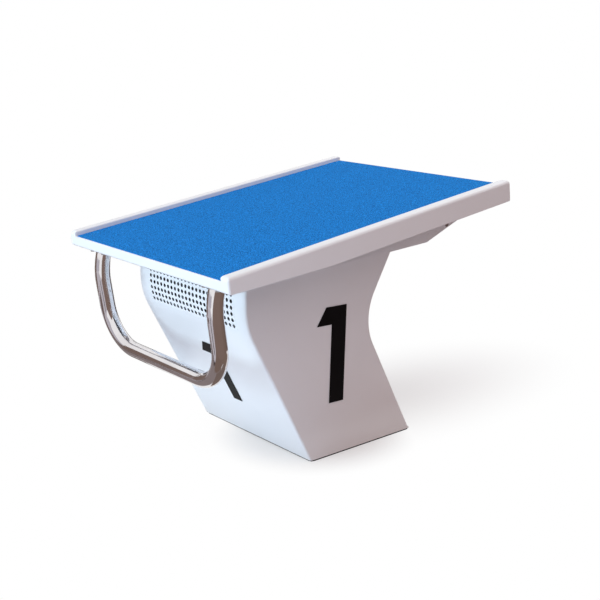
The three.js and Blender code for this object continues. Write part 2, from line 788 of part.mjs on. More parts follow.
// The middle of the side frame at a share of its height
function framePlace(share) {
  const z = THREE.MathUtils.lerp(frameFoot, frameHead, share);
  return [(lineAt(frameLines.front, z) + lineAt(frameLines.rear, z)) / 2, z];
}

function sideFrame(side) {
  const reach = (near, far) => [side * near, side * far].sort((a, b) => a - b);
  const outline = [...frameLines.front, ...[...frameLines.rear].reverse()];
  const wide = acrossX(outline, ...reach(frameHalf - frameFlangeWidth, frameHalf));
  const web = acrossX(outline, ...reach(frameHalf - frameThickness, frameHalf));
  const footBand = box(-deckHalf, deckHalf, -deckLength, deckLength, frameFoot, frameFoot + frameThickness);
  const headBand = aboveJoint(seatGap + frameThickness);
  const belowFoot = box(-deckHalf, deckHalf, -deckLength, deckLength, -deckLength, frameFoot);
  const folded = join(web, common(wide, footBand), common(wide, headBand));
  const windows = lighteningHeightShares.map((share) => rod(lighteningDiameter, -overrun, overrun, ringSides)
    .rotateY(quarterTurn).translate(side * frameHalf, ...framePlace(share)));
  const headBores = frameBoltPlaces.map(([x, y]) => onJoint(boreFor(saddleBolt, -overrun, overrun), x, y));
  const footBores = anchorPlaces.map(([x, y]) => placed(boreFor(anchorBolt, -overrun, overrun), x, y, frameFoot));
  return cut(folded, belowFoot, aboveJoint(seatGap), together(windows), together(headBores),
    together(footBores));
}

function frameTie() {
  const half = frameHalf - frameThickness - seatGap;
  return new THREE.CylinderGeometry(tieDiameter / 2, tieDiameter / 2, 2 * half, ringSides)
    .rotateZ(quarterTurn);
}

// A bolt down through the pan and the flange that it clamps
function downwardBolt(size, flangeThickness) {
  return bolt(size, cradlePlate + flangeThickness + 3 * seatGap + size.nut + size.shank / 4);
}

// Foot

function baseSeal() {
  const sheet = upZ(roundedRectangle(pedestalHalf - sealInset, footFront + sealInset, footRear - sealInset,
    shellEdgeRadius, smallCornerSteps), 0, sealThickness);
  return cut(sheet, together(anchorPlaces.map(([x, y]) => placed(
    boreFor(anchorBolt, -overrun, overrun), x, y, 0))));
}

function basePlate() {
  const frontWall = offsetLine(frontLine, shellWall);
  const rearWall = offsetLine(rearLine, -shellWall);
  const fromY = lineAt(frontWall, basePlateFoot) + basePlateClearance;
  const toY = lineAt(rearWall, basePlateTop) - basePlateClearance;
  const half = pedestalHalf - shellWall - basePlateClearance;
  const sheet = upZ(roundedRectangle(half, fromY, toY, shellEdgeRadius, smallCornerSteps),
    basePlateFoot, basePlateTop);
  return cut(sheet, together(anchorPlaces.map(([x, y]) => placed(
    boreFor(anchorBolt, -overrun, overrun), x, y, basePlateFoot))));
}

function anchorStud() {
  return rod(anchorBolt.shank, seatGap, anchorStudRise);
}

function anchorNut() {
  const { flange, flangeThickness } = anchorBolt;
  return cut(join(hexagon(anchorBolt.flats, 0, anchorBolt.nut), rod(flange, 0, flangeThickness, ringSides)),
    rod(anchorBolt.shank + 2 * seatGap, -overrun, overrun + anchorBolt.nut));
}

// Race number, standing on y = 0 of its own face, which looks along z
function raceNumber(height) {
  return extruded(digitShares.map(([x, y]) => [x * height, y * height]), digitThickness);
}

// Finishes

const gelcoat = { color: 0xf1f4f6, roughness: 0.35, metalness: 0 };
const whitePaint = { color: 0xeceeef, roughness: 0.45, metalness: 0 };
const blueGrit = { color: 0x2a83d3, roughness: 0.95, metalness: 0 };
const polishedSteel = { color: 0xd6d4d0, roughness: 0.12, metalness: 1 };
const plainSteel = { color: 0xb6b8ba, roughness: 0.4, metalness: 1 };
const galvanised = { color: 0xa4a9ac, roughness: 0.55, metalness: 1 };
const blackRubber = { color: 0x1d1d1e, roughness: 0.85, metalness: 0 };
const blackVinyl = { color: 0x17181c, roughness: 0.6, metalness: 0 };
const sealedBoard = { color: 0xd9dbd6, roughness: 0.7, metalness: 0 };

function piece(name, geometry, finish) {
  const mesh = new THREE.Mesh(geometry, new THREE.MeshStandardMaterial(finish));
  mesh.name = name;
  return mesh;
}

// Copies of one piece, numbered from 1, each at a place [x, y, z]
function copies(name, geometry, finish, places, tilt = 0) {
  return places.map(([x, y, z], i) => {
    const copy = piece(`${name}_${i + 1}`, geometry, finish);
    copy.position.set(x, y, z);
    copy.rotation.x = tilt;
    return copy;
  });
}

// Places on the pan's joint, at a level square to its underside
function jointPlaces(places, level) {
  const back = level * Math.sin(cradleEdgeSlope);
  return places.map(([x, y]) => [x, y - back, panUnderside(y) + level * Math.cos(cradleEdgeSlope)]);
}

// Assembly

const deck = new THREE.Group();
deck.position.set(0, -deckFrontReach, deckFrontHeight);
deck.rotation.x = deckSlope;
deck.add(
  piece('deck_tray', deckTray(), gelcoat),
  piece('anti_slip_mat', antiSlipMat(), blueGrit),
  piece('core_board', coreBoard(), sealedBoard),
  piece('grab_plate_left', grabPlate(-1), polishedSteel),
  piece('grab_plate_right', grabPlate(1), polishedSteel),
  ...copies('deck_bolt', upwardBolt(cradlePlate), plainSteel,
    cheekBoltPlaces.map(([x, run]) => [x, run, coreSeat - cradlePlate - seatGap])),
  ...copies('grab_plate_bolt', upwardBolt(grabPlateThickness), plainSteel,
    grabBoltPlaces.map(([x, run]) => [x, run, grabPlateUnderside - seatGap])),
);

const cradle = new THREE.Group();
cradle.add(
  piece('cradle_cheek_left', cradleCheek(-1), whitePaint),
  piece('cradle_cheek_right', cradleCheek(1), whitePaint),
  piece('cradle_pan', cradlePan(), whitePaint),
  piece('cradle_front', crossPlate(cradleFrontY, panUnderside(cradleFrontY)), whitePaint),
  piece('cradle_rib_front', cradleRib(ribOpeningShares[0]), whitePaint),
  piece('cradle_rib_rear', cradleRib(ribOpeningShares[1]), whitePaint),
);

const digitLevel = pedestalHalf + seatGap;
const sideDigit = raceNumber(sideDigitHeight).rotateZ(-sideDigitTurn).rotateX(quarterTurn);
const numberRight = piece('number_right', sideDigit, blackVinyl);
numberRight.position.set(digitLevel, sideDigitReach, sideDigitFoot);
numberRight.rotation.z = quarterTurn;
const numberLeft = piece('number_left', sideDigit, blackVinyl);
numberLeft.position.set(-digitLevel, sideDigitReach, sideDigitFoot);
numberLeft.rotation.z = -quarterTurn;

const slopeDigit = raceNumber(slopeDigitHeight).rotateX(quarterTurn);
const numberFront = piece('number_front', slopeDigit, blackVinyl);
numberFront.position.set(
  slopeDigitShift,
  footFront - slopeDigitFoot * Math.sin(frontLean) - seatGap * Math.cos(frontLean),
  slopeDigitFoot * Math.cos(frontLean) - seatGap * Math.sin(frontLean));
numberFront.rotation.x = frontLean;
const numberRear = piece('number_rear', slopeDigit.clone().rotateX(-rearFootLean), blackVinyl);
numberRear.position.set(
  -slopeDigitShift,
  footRear - rearDigitFoot * Math.sin(rearFootLean) + seatGap * Math.cos(rearFootLean),
  rearDigitFoot * Math.cos(rearFootLean) + seatGap * Math.sin(rearFootLean));
numberRear.rotation.z = halfTurn;

const pedestal = new THREE.Group();
pedestal.add(
  piece('pedestal_shell', pedestalShell(), gelcoat),
  piece('grille_panel', grillePanel(), whitePaint),
  numberFront,
  numberRight,
  numberRear,
  numberLeft,
  ...copies('shell_bolt', bolt(deckBolt, cradlePlate + shellWall + seatGap), plainSteel,
    jointPlaces(shellBoltPlaces, cradlePlate + seatGap), cradleEdgeSlope),
);

const support = new THREE.Group();
support.add(
  piece('side_frame_left', sideFrame(-1), galvanised),
  piece('side_frame_right', sideFrame(1), galvanised),
  ...copies('frame_tie', frameTie(), galvanised, tieHeightShares.map((share) => [0, ...framePlace(share)])),
  ...copies('frame_bolt', downwardBolt(saddleBolt, frameThickness), plainSteel,
    jointPlaces(frameBoltPlaces, cradlePlate + seatGap), cradleEdgeSlope),
  ...copies('frame_nut', nut(saddleBolt).rotateX(halfTurn), plainSteel,
    jointPlaces(frameBoltPlaces, -frameThickness - 2 * seatGap), cradleEdgeSlope),
);

const foot = new THREE.Group();
foot.add(
  piece('base_seal', baseSeal(), blackRubber),
  piece('base_plate', basePlate(), galvanised),
  ...copies('anchor_stud', anchorStud(), plainSteel, anchorPlaces.map(([x, y]) => [x, y, 0])),
  ...copies('anchor_nut', anchorNut(), plainSteel,
    anchorPlaces.map(([x, y]) => [x, y, frameFoot + frameThickness + seatGap])),
);

const startingBlock = new THREE.Group();
startingBlock.add(deck, piece('grab_bar', grabBar(), polishedSteel), cradle, pedestal, support, foot);

export default startingBlock;
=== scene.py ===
import json
from math import cos, pi, radians, sin, sqrt, tan

import bmesh
import bpy
from mathutils import Matrix, Vector


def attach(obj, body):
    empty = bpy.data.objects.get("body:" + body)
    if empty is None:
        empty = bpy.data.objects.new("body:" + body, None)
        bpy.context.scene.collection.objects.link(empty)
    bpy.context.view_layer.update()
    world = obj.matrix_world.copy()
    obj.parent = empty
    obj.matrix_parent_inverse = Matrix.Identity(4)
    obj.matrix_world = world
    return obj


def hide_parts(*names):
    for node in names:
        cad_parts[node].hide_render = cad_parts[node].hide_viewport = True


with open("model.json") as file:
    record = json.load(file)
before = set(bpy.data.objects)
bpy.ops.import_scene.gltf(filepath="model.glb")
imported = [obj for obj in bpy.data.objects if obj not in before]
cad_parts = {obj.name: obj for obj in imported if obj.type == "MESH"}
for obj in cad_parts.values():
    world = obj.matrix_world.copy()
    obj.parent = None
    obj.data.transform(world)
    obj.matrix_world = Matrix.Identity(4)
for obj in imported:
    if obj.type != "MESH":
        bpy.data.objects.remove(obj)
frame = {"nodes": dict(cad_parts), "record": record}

scene = bpy.context.scene
scene.view_settings.view_transform = 'Standard'
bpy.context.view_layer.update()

# Camera. It stands by the pool, ahead of the block and to its right, a little above the deck.
# A short telephoto lens keeps the block's upright edges nearly parallel.
camera_place = (1.7982, -1.5363, 0.9260)
camera_turn, camera_tilt, camera_roll = radians(49.849), radians(14.798), radians(0.080)
camera_data = bpy.data.cameras.new('photo_camera')
camera_data.lens = 62.51
camera_data.sensor_width = 36.0
camera = bpy.data.objects.new('photo_camera', camera_data)
scene.collection.objects.link(camera)
camera.matrix_world = (Matrix.Translation(camera_place)
                       @ Matrix.Rotation(camera_turn, 4, 'Z')
                       @ Matrix.Rotation(pi / 2 - camera_tilt, 4, 'X')
                       @ Matrix.Rotation(camera_roll, 4, 'Z'))
scene.camera = camera

# Studio floor. Seamless white paper. The eye, and polished metal, see it pure white, but for the
# soft shadow close round the foot and the wider one under the deck's rear overhang. These two are
# painted shadows in part: two soft ellipses are set where they lie, and inside them the lit paper,
# with the block's real shade on it, shows through the white. The light that the floor throws back
# on the block is cool ahead of the pedestal and warm and dim behind its front.
def seen_straight(nodes, links):
    """A socket that is one where the eye, polished metal or glass sees the surface, else nought."""
    rays = nodes.new('ShaderNodeLightPath')
    seen = rays.outputs['Is Camera Ray']
    for mirrored in ('Is Glossy Ray', 'Is Transmission Ray'):
        either = nodes.new('ShaderNodeMath')
        either.operation = 'MAXIMUM'
        links.new(seen, either.inputs[0])
        links.new(rays.outputs[mirrored], either.inputs[1])
        seen = either.outputs['Value']
    return seen


foot_shadow = ((0.068, -0.034, 0), (0.2575, 0.2625, 1), 0.476, 0.60)
overhang_shadow = ((-0.01, 0.33, 0), (0.34, 0.67, 1), 0.0, 0.52)
cool_to, warm_from = -0.40, 0.0
bpy.ops.object.select_all(action='DESELECT')
bpy.ops.mesh.primitive_plane_add(size=120, location=(0, 0, 0))
floor = bpy.context.object
floor.name = 'studio_floor'
floor_paper = bpy.data.materials.new('floor_paper')
floor_paper.use_nodes = True
paper_nodes, paper_links = floor_paper.node_tree.nodes, floor_paper.node_tree.links
paper_nodes.clear()
paper_out = paper_nodes.new('ShaderNodeOutputMaterial')
paper_lit = paper_nodes.new('ShaderNodeBsdfDiffuse')
paper_lit.inputs['Color'].default_value = (0.82, 0.80, 0.785, 1)
paper_white = paper_nodes.new('ShaderNodeEmission')
paper_white.inputs['Strength'].default_value = 1.0
paper_place = paper_nodes.new('ShaderNodeTexCoord')
paper_shadows = []
for shadow_centre, shadow_reach, shadow_start, shadow_depth in (foot_shadow, overhang_shadow):
    from_centre = paper_nodes.new('ShaderNodeVectorMath')
    from_centre.operation = 'SUBTRACT'
    from_centre.inputs[1].default_value = shadow_centre
    paper_links.new(paper_place.outputs['Object'], from_centre.inputs[0])
    share_of_reach = paper_nodes.new('ShaderNodeVectorMath')
    share_of_reach.operation = 'DIVIDE'
    share_of_reach.inputs[1].default_value = shadow_reach
    paper_links.new(from_centre.outputs['Vector'], share_of_reach.inputs[0])
    edge_distance = paper_nodes.new('ShaderNodeVectorMath')
    edge_distance.operation = 'LENGTH'
    paper_links.new(share_of_reach.outputs['Vector'], edge_distance.inputs[0])
    shadow_share = paper_nodes.new('ShaderNodeMapRange')
    shadow_share.interpolation_type = 'SMOOTHSTEP'
    shadow_share.inputs['From Min'].default_value = shadow_start
    shadow_share.inputs['From Max'].default_value = 1.0
    shadow_share.inputs['To Min'].default_value = shadow_depth
    shadow_share.inputs['To Max'].default_value = 0.0
    paper_links.new(edge_distance.outputs['Value'], shadow_share.inputs['Value'])
    paper_shadows.append(shadow_share)
paper_share = paper_nodes.new('ShaderNodeMath')
paper_share.operation = 'MAXIMUM'
paper_links.new(paper_shadows[0].outputs['Result'], paper_share.inputs[0])
paper_links.new(paper_shadows[1].outputs['Result'], paper_share.inputs[1])
paper_seen = paper_nodes.new('ShaderNodeMixShader')
paper_links.new(paper_share.outputs['Value'], paper_seen.inputs['Fac'])
paper_links.new(paper_white.outputs['Emission'], paper_seen.inputs[1])
paper_links.new(paper_lit.outputs['BSDF'], paper_seen.inputs[2])
paper_axes = paper_nodes.new('ShaderNodeSeparateXYZ')
paper_links.new(paper_place.outputs['Object'], paper_axes.inputs['Vector'])
paper_front = paper_nodes.new('ShaderNodeMapRange')
paper_front.interpolation_type = 'SMOOTHSTEP'
paper_front.inputs['From Min'].default_value = cool_to
paper_front.inputs['From Max'].default_value = warm_from
paper_links.new(paper_axes.outputs['Y'], paper_front.inputs['Value'])
paper_tint = paper_nodes.new('ShaderNodeMix')
paper_tint.data_type = 'RGBA'
paper_tint.inputs['A'].default_value = (0.77, 0.79, 0.88, 1)
paper_tint.inputs['B'].default_value = (0.40, 0.285, 0.26, 1)
paper_links.new(paper_front.outputs['Result'], paper_tint.inputs['Factor'])
paper_warm = paper_nodes.new('ShaderNodeBsdfDiffuse')
paper_links.new(paper_tint.outputs['Result'], paper_warm.inputs['Color'])
paper_mix = paper_nodes.new('ShaderNodeMixShader')
paper_links.new(seen_straight(paper_nodes, paper_links), paper_mix.inputs['Fac'])
paper_links.new(paper_warm.outputs['BSDF'], paper_mix.inputs[1])
paper_links.new(paper_seen.outputs['Shader'], paper_mix.inputs[2])
paper_links.new(paper_mix.outputs['Shader'], paper_out.inputs['Surface'])
floor.data.materials.append(floor_paper)

# Dark cards. Boards that lean and lie round the block. Each glows with a fixed colour of its own and
# shows only in glossy reflections, in the steel and faintly in the gelcoat: painted reflections. They
# draw the brown and near-black stripes that mirror steel has beside a pool. Each row has a name,
# bearing and distance from the block's middle, size, lean from level, rise and colour.
lowest_card, card_layer = 0.001, 0.0005
dark_cards = (
    ('card_pool_deck', -115, 1.42, (1.7, 1.9), 0, 0, (0.56, 0.53, 0.57)),
    ('card_pool_wall', -112, 2.35, (0.5, 2.6), 90, 0, (0.52, 0.50, 0.55)),
    ('card_right_front', -25, 1.05, (1.10, 1.5), 46, 0, (0.22, 0.155, 0.13)),
    ('card_right', 20, 1.05, (1.10, 1.5), 46, 0, (0.20, 0.14, 0.115)),
    ('card_right_rear', 64, 1.05, (1.10, 1.4), 46, 0, (0.16, 0.115, 0.095)),
    ('card_rear', 108, 1.25, (0.55, 1.0), 46, 0, (0.06, 0.045, 0.04)),
    ('card_left_rear', 166, 1.25, (0.55, 1.2), 46, 0, (0.05, 0.036, 0.034)),
    ('card_left_front', -144, 1.35, (0.60, 0.9), 75, 0, (0.20, 0.145, 0.125)),
    ('card_under_bar', -90, 0.57, (0.30, 1.7), 0, 0, (0.27, 0.225, 0.222)),
    ('card_bar_line', -90, 0.74, (0.045, 1.9), 0, 0, (0.075, 0.055, 0.05)),
    ('card_left_foot', -125, 1.12, (0.22, 0.55), 0, 0, (0.16, 0.115, 0.10)),
    ('card_front_right', -52, 0.98, (0.85, 0.8), 0, 0, (0.20, 0.14, 0.115)),
    ('card_right_foot', 0, 0.62, (0.62, 0.7), 0, 0, (0.21, 0.15, 0.12)),
    ('card_heel', -51, 0.41, (0.26, 0.36), 0, 0, (0.20, 0.15, 0.13)),
    ('card_left_side', 180, 0.60, (0.50, 0.8), 0, 0, (0.22, 0.19, 0.18)),
    ('card_left_beam', 178, 1.60, (0.07, 2.6), 90, 0.80, (0.05, 0.045, 0.05)),
    ('card_streak', -91, 1.12, (0.55, 0.09), 0, 0, (0.03, 0.024, 0.024)))
for layer, dark_card in enumerate(dark_cards):
    card_name, card_bearing, card_reach, card_size, card_lean, card_rise, card_colour = dark_card
    toward, lean = radians(card_bearing), radians(card_lean)
    bpy.ops.object.select_all(action='DESELECT')
    bpy.ops.mesh.primitive_plane_add(size=1)
    card = bpy.context.object
    card.name = card_name
    card.scale = (*card_size, 1)
    card.rotation_euler = (0, -lean, toward)
    card.location = (card_reach * cos(toward), card_reach * sin(toward),
                     card_rise + card_size[0] / 2 * sin(lean) + lowest_card + card_layer * layer)
    card_paint = bpy.data.materials.new(card_name)
    card_paint.use_nodes = True
    card_nodes = card_paint.node_tree.nodes
    card_nodes.clear()
    card_tone = card_nodes.new('ShaderNodeEmission')
    card_tone.inputs['Color'].default_value = (*card_colour, 1)
    card_out = card_nodes.new('ShaderNodeOutputMaterial')
    card_paint.node_tree.links.new(card_tone.outputs['Emission'], card_out.inputs['Surface'])
    card.data.materials.append(card_paint)
    card.visible_camera = card.visible_diffuse = card.visible_shadow = False
    card.visible_transmission = card.visible_volume_scatter = False

# Room. White all round to the eye and in polished metal. Its light comes more from above than from
# the sides, cool over the pool on the left and warm from the hall on the right.
room = bpy.data.worlds.new('white_room')
scene.world = room
room.use_nodes = True
room_nodes, room_links = room.node_tree.nodes, room.node_tree.links
room_nodes.clear()
room_out = room_nodes.new('ShaderNodeOutputWorld')
room_place = room_nodes.new('ShaderNodeTexCoord')
room_axes = room_nodes.new('ShaderNodeSeparateXYZ')
room_links.new(room_place.outputs['Generated'], room_axes.inputs['Vector'])
room_height = room_nodes.new('ShaderNodeMapRange')
room_height.inputs['From Min'].default_value = 0.0
room_height.inputs['From Max'].default_value = 0.85
room_height.inputs['To Min'].default_value = 0.32
room_height.inputs['To Max'].default_value = 0.92
room_links.new(room_axes.outputs['Z'], room_height.inputs['Value'])
room_right = room_nodes.new('ShaderNodeMapRange')
room_right.interpolation_type = 'SMOOTHSTEP'
room_right.inputs['From Min'].default_value = -0.4
room_right.inputs['From Max'].default_value = 0.6
room_links.new(room_axes.outputs['X'], room_right.inputs['Value'])
room_tint = room_nodes.new('ShaderNodeMix')
room_tint.data_type = 'RGBA'
room_tint.inputs['A'].default_value = (0.90, 0.94, 1.0, 1)
room_tint.inputs['B'].default_value = (1.0, 0.835, 0.835, 1)
room_links.new(room_right.outputs['Result'], room_tint.inputs['Factor'])
room_light = room_nodes.new('ShaderNodeBackground')
room_links.new(room_tint.outputs['Result'], room_light.inputs['Color'])
room_links.new(room_height.outputs['Result'], room_light.inputs['Strength'])
room_seen = room_nodes.new('ShaderNodeBackground')
room_seen.inputs['Color'].default_value = (1, 1, 1, 1)
room_seen.inputs['Strength'].default_value = 1.0
room_mix = room_nodes.new('ShaderNodeMixShader')
room_links.new(seen_straight(room_nodes, room_links), room_mix.inputs['Fac'])
room_links.new(room_light.outputs['Background'], room_mix.inputs[1])
room_links.new(room_seen.outputs['Background'], room_mix.inputs[2])
room_links.new(room_mix.outputs['Shader'], room_out.inputs['Surface'])

# Lamps. A wide softbox ahead of the block and to its left lights the leaning front, and a second
# one overhead lights the deck. The right side has little but the room's light, and the front
# softbox isn't mirrored in the steel, where it would be one hard white patch.
for lamp_name, place, aim, size, watts, tint in (
        ('front_softbox', (-0.2, -3.0, 0.7), (0, -0.2, 0.2), (1.8, 1.4), 61, (0.61, 0.80, 0.94)),
        ('overhead_softbox', (0.2, 0.9, 2.3), (0, 0.1, 0.4), (1.8, 1.8), 9, (0.93, 0.96, 1.0))):
    lamp_data = bpy.data.lights.new(lamp_name, 'AREA')
    lamp_data.shape = 'RECTANGLE'
    lamp_data.size, lamp_data.size_y = size
    lamp_data.energy = watts
    lamp_data.color = tint
    lamp = bpy.data.objects.new(lamp_name, lamp_data)
    scene.collection.objects.link(lamp)
    lamp.visible_glossy = lamp_name != 'front_softbox'
    lamp.location = place
    lamp.rotation_euler = (Vector(aim) - Vector(place)).to_track_quat('-Z', 'Y').to_euler()

# Deck tray. A white fibreglass moulding with a gelcoat face and a raised rim along each side.
# Its flanges turn down all round, shallower at the front, and its recess holds the mat.
deck_place = Vector((0, -0.445, 0.4679))
deck_slope = radians(7.6)
deck_half_width = 0.300
deck_length = 0.808
deck_skin = 0.005
rim_inside = 0.2764
rim_top = 0.010
lip_top = -0.0008
lip_width = 0.004
recess_floor = -0.0038
skin_underside = -0.0088
flange_foot = -0.0383
front_flange_foot = -0.024
flange_taper = 0.255
rim_side_round, rim_front_round, rim_rear_round, rim_inner_round = 0.0075, 0.010, 0.009, 0.003
outer_corner_round, lip_corner_round, lip_round, foot_round = 0.006, 0.003, 0.0012, 0.0012
small_step = 0.001
flat_fold = radians(0.4)
# Places less than a hair apart count as one, and a face looks squarely along an axis from this
# share of its normal on.
hair = 1e-4
squarely = 0.9


def start_piece(name):
    """The primitive just added becomes a piece, and goes into edit mode."""
    piece = bpy.context.object
    piece.name = name
    piece.data.name = name
    bpy.ops.object.transform_apply(location=True, rotation=True, scale=True)
    bpy.ops.object.mode_set(mode='EDIT')
    bpy.ops.mesh.select_mode(type='VERT')
    bpy.ops.mesh.select_all(action='SELECT')
    return piece


def pick_faces(piece, wanted):
    """Selects only the faces whose middle and normal pass the test."""
    bpy.ops.mesh.select_all(action='DESELECT')
    bpy.ops.mesh.select_mode(type='FACE')
    mesh = bmesh.from_edit_mesh(piece.data)
    for face in mesh.faces:
        face.select_set(wanted(face.calc_center_median(), face.normal))
    bmesh.update_edit_mesh(piece.data)


def pick_edges(piece, wanted):
    """Selects only the edges whose two ends both pass the test."""
    bpy.ops.mesh.select_all(action='DESELECT')
    bpy.ops.mesh.select_mode(type='EDGE')
    mesh = bmesh.from_edit_mesh(piece.data)
    for edge in mesh.edges:
        edge.select_set(all(wanted(end.co) for end in edge.verts))
    bmesh.update_edit_mesh(piece.data)


def pick_points(piece, wanted):
    """Selects only the points that pass the test."""
    bpy.ops.mesh.select_all(action='DESELECT')
    bpy.ops.mesh.select_mode(type='VERT')
    mesh = bmesh.from_edit_mesh(piece.data)
    for point in mesh.verts:
        point.select_set(wanted(point.co))
    bmesh.update_edit_mesh(piece.data)


def cut_across(place, normal):
    """Cuts edges all round the piece on one plane."""
    bpy.ops.mesh.select_all(action='SELECT')
    bpy.ops.mesh.bisect(plane_co=place, plane_no=normal)


def apply_modifier(piece, kind, **settings):
    """Adds one modifier with these settings and applies it."""
    modifier = piece.modifiers.new(kind.lower(), kind)
    for setting, value in settings.items():
        setattr(modifier, setting, value)
    bpy.ops.object.modifier_apply(modifier=modifier.name)


def smooth(piece, angle=38):
    """Rounded stretches shade smoothly, and flat faces stay flat up to them."""
    bpy.ops.object.shade_smooth_by_angle(angle=radians(angle))
    apply_modifier(piece, 'WEIGHTED_NORMAL', keep_sharp=True)


def lay_on_deck(piece):
    """Takes a piece modelled level, its origin at the deck's front edge, to its place on the slope."""
    piece.rotation_euler = (deck_slope, 0, 0)
    piece.location = deck_place
    bpy.ops.object.transform_apply(location=True, rotation=True, scale=True)


bpy.ops.object.select_all(action='DESELECT')
bpy.ops.mesh.primitive_cube_add(
    size=1, location=(0, deck_length / 2, (lip_top + flange_foot) / 2),
    scale=(2 * deck_half_width, deck_length, lip_top - flange_foot))
tray = start_piece('deck_moulding')
cut_across((-rim_inside, 0, 0), (1, 0, 0))
cut_across((rim_inside, 0, 0), (1, 0, 0))
cut_across((0, lip_width, 0), (0, 1, 0))
cut_across((0, deck_length - lip_width, 0), (0, 1, 0))
cut_across((0, flange_taper, 0), (0, 1, 0))
pick_faces(tray, lambda middle, normal: normal.z > squarely and abs(middle.x) > rim_inside)
bpy.ops.mesh.extrude_region_move(TRANSFORM_OT_translate={"value": (0, 0, rim_top - lip_top)})
pick_faces(tray, lambda middle, normal: normal.z > squarely and abs(middle.x) < rim_inside
           and lip_width < middle.y < deck_length - lip_width)
bpy.ops.mesh.extrude_region_move(TRANSFORM_OT_translate={"value": (0, 0, recess_floor - lip_top)})
pick_points(tray, lambda place: place.z < flange_foot + hair and place.y < hair)
bpy.ops.transform.translate(value=(0, 0, front_flange_foot - flange_foot))
pick_points(tray, lambda place: place.z < flange_foot + hair and abs(place.y - lip_width) < hair)
bpy.ops.transform.translate(
    value=(0, 0, (front_flange_foot - flange_foot) * (1 - lip_width / flange_taper)))
pick_faces(tray, lambda middle, normal: normal.z < -squarely and middle.z < front_flange_foot / 2)
bpy.ops.mesh.inset(thickness=deck_skin, depth=0)
bpy.ops.mesh.extrude_region_move(TRANSFORM_OT_translate={"value": (0, 0, small_step)})
bpy.ops.transform.resize(value=(1, 1, 0), center_override=(0, 0, skin_underside))
bpy.ops.mesh.select_all(action='SELECT')
bpy.ops.mesh.dissolve_limited(angle_limit=flat_fold)
bpy.ops.object.mode_set(mode='OBJECT')
roundings = tray.data.attributes.new('bevel_weight_edge', 'FLOAT', 'EDGE')
for edge in tray.data.edges:
    ends = [tray.data.vertices[corner].co for corner in edge.vertices]
    at = (ends[0] + ends[1]) / 2
    upright = abs(ends[1].z - ends[0].z) > deck_skin
    outside = min(abs(end.x) for end in ends) > deck_half_width - hair
    at_front, at_rear = abs(at.y) < hair, at.y > deck_length - hair
    on_rim_top = min(end.z for end in ends) > rim_top - hair
    if on_rim_top and outside:
        radius = rim_side_round
    elif on_rim_top and at_front:
        radius = rim_front_round
    elif on_rim_top and at_rear:
        radius = rim_rear_round
    elif on_rim_top:
        radius = rim_inner_round
    elif outside and (at_front or at_rear):
        radius = outer_corner_round
    elif (at_front or at_rear) and upright and abs(abs(at.x) - rim_inside) < hair:
        radius = lip_corner_round
    elif (outside or at_front or at_rear) and at.z < front_flange_foot + hair:
        radius = foot_round
    elif (at_front or at_rear) and abs(at.z - lip_top) < hair:
        radius = lip_round
    else:
        radius = 0
    roundings.data[edge.index].value = radius / rim_front_round
apply_modifier(tray, 'BEVEL', limit_method='WEIGHT', width=rim_front_round, segments=6,
               use_clamp_overlap=False, miter_outer='MITER_SHARP')
smooth(tray)
lay_on_deck(tray)
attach(tray, 'root')
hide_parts('deck_tray')


def new_finish(name, colour, roughness, metallic=0.0):
    """A material with a Principled shader whose plain values are set here."""
    finish = bpy.data.materials.new(name)
    finish.use_nodes = True
    shader = finish.node_tree.nodes['Principled BSDF']
    shader.inputs['Base Color'].default_value = (*colour, 1)
    shader.inputs['Roughness'].default_value = roughness
    shader.inputs['Metallic'].default_value = metallic
    return finish, shader


def give_finish(piece, finish):
    """The piece wears one finish all over."""
    piece.data.materials.clear()
    piece.data.materials.append(finish)


# The uneven look that every made surface has up close: two colours that drift into each other,
# a gloss that drifts with them, and a fine relief.
uneven = bpy.data.node_groups.new('uneven_surface', 'ShaderNodeTree')
for way, socket_name, socket_kind in (
        ('INPUT', 'Light Colour', 'NodeSocketColor'),
        ('INPUT', 'Dark Colour', 'NodeSocketColor'),
        ('INPUT', 'Drift Size', 'NodeSocketFloat'),
        ('INPUT', 'Relief Size', 'NodeSocketFloat'),
        ('INPUT', 'Gloss Low', 'NodeSocketFloat'),
        ('INPUT', 'Gloss High', 'NodeSocketFloat'),
        ('INPUT', 'Relief Height', 'NodeSocketFloat'),
        ('OUTPUT', 'Colour', 'NodeSocketColor'),
        ('OUTPUT', 'Roughness', 'NodeSocketFloat'),
        ('OUTPUT', 'Normal', 'NodeSocketVector')):
    uneven.interface.new_socket(socket_name, in_out=way, socket_type=socket_kind)
u_nodes, u_links = uneven.nodes, uneven.links
u_in = u_nodes.new('NodeGroupInput')
u_out = u_nodes.new('NodeGroupOutput')
u_place = u_nodes.new('ShaderNodeTexCoord')
u_drift = u_nodes.new('ShaderNodeTexNoise')
u_drift.inputs['Detail'].default_value = 4
u_links.new(u_place.outputs['Object'], u_drift.inputs['Vector'])
u_links.new(u_in.outputs['Drift Size'], u_drift.inputs['Scale'])
u_relief = u_nodes.new('ShaderNodeTexNoise')
u_relief.inputs['Detail'].default_value = 2
u_links.new(u_place.outputs['Object'], u_relief.inputs['Vector'])
u_links.new(u_in.outputs['Relief Size'], u_relief.inputs['Scale'])
u_spread = u_nodes.new('ShaderNodeMapRange')
u_spread.inputs['From Min'].default_value = 0.3
u_spread.inputs['From Max'].default_value = 0.7
u_links.new(u_drift.outputs['Fac'], u_spread.inputs['Value'])
u_tint = u_nodes.new('ShaderNodeMix')
u_tint.data_type = 'RGBA'
u_links.new(u_spread.outputs['Result'], u_tint.inputs['Factor'])
u_links.new(u_in.outputs['Light Colour'], u_tint.inputs['A'])
u_links.new(u_in.outputs['Dark Colour'], u_tint.inputs['B'])
u_gloss = u_nodes.new('ShaderNodeMix')
u_links.new(u_spread.outputs['Result'], u_gloss.inputs['Factor'])
u_links.new(u_in.outputs['Gloss Low'], u_gloss.inputs['A'])
u_links.new(u_in.outputs['Gloss High'], u_gloss.inputs['B'])
u_bump = u_nodes.new('ShaderNodeBump')
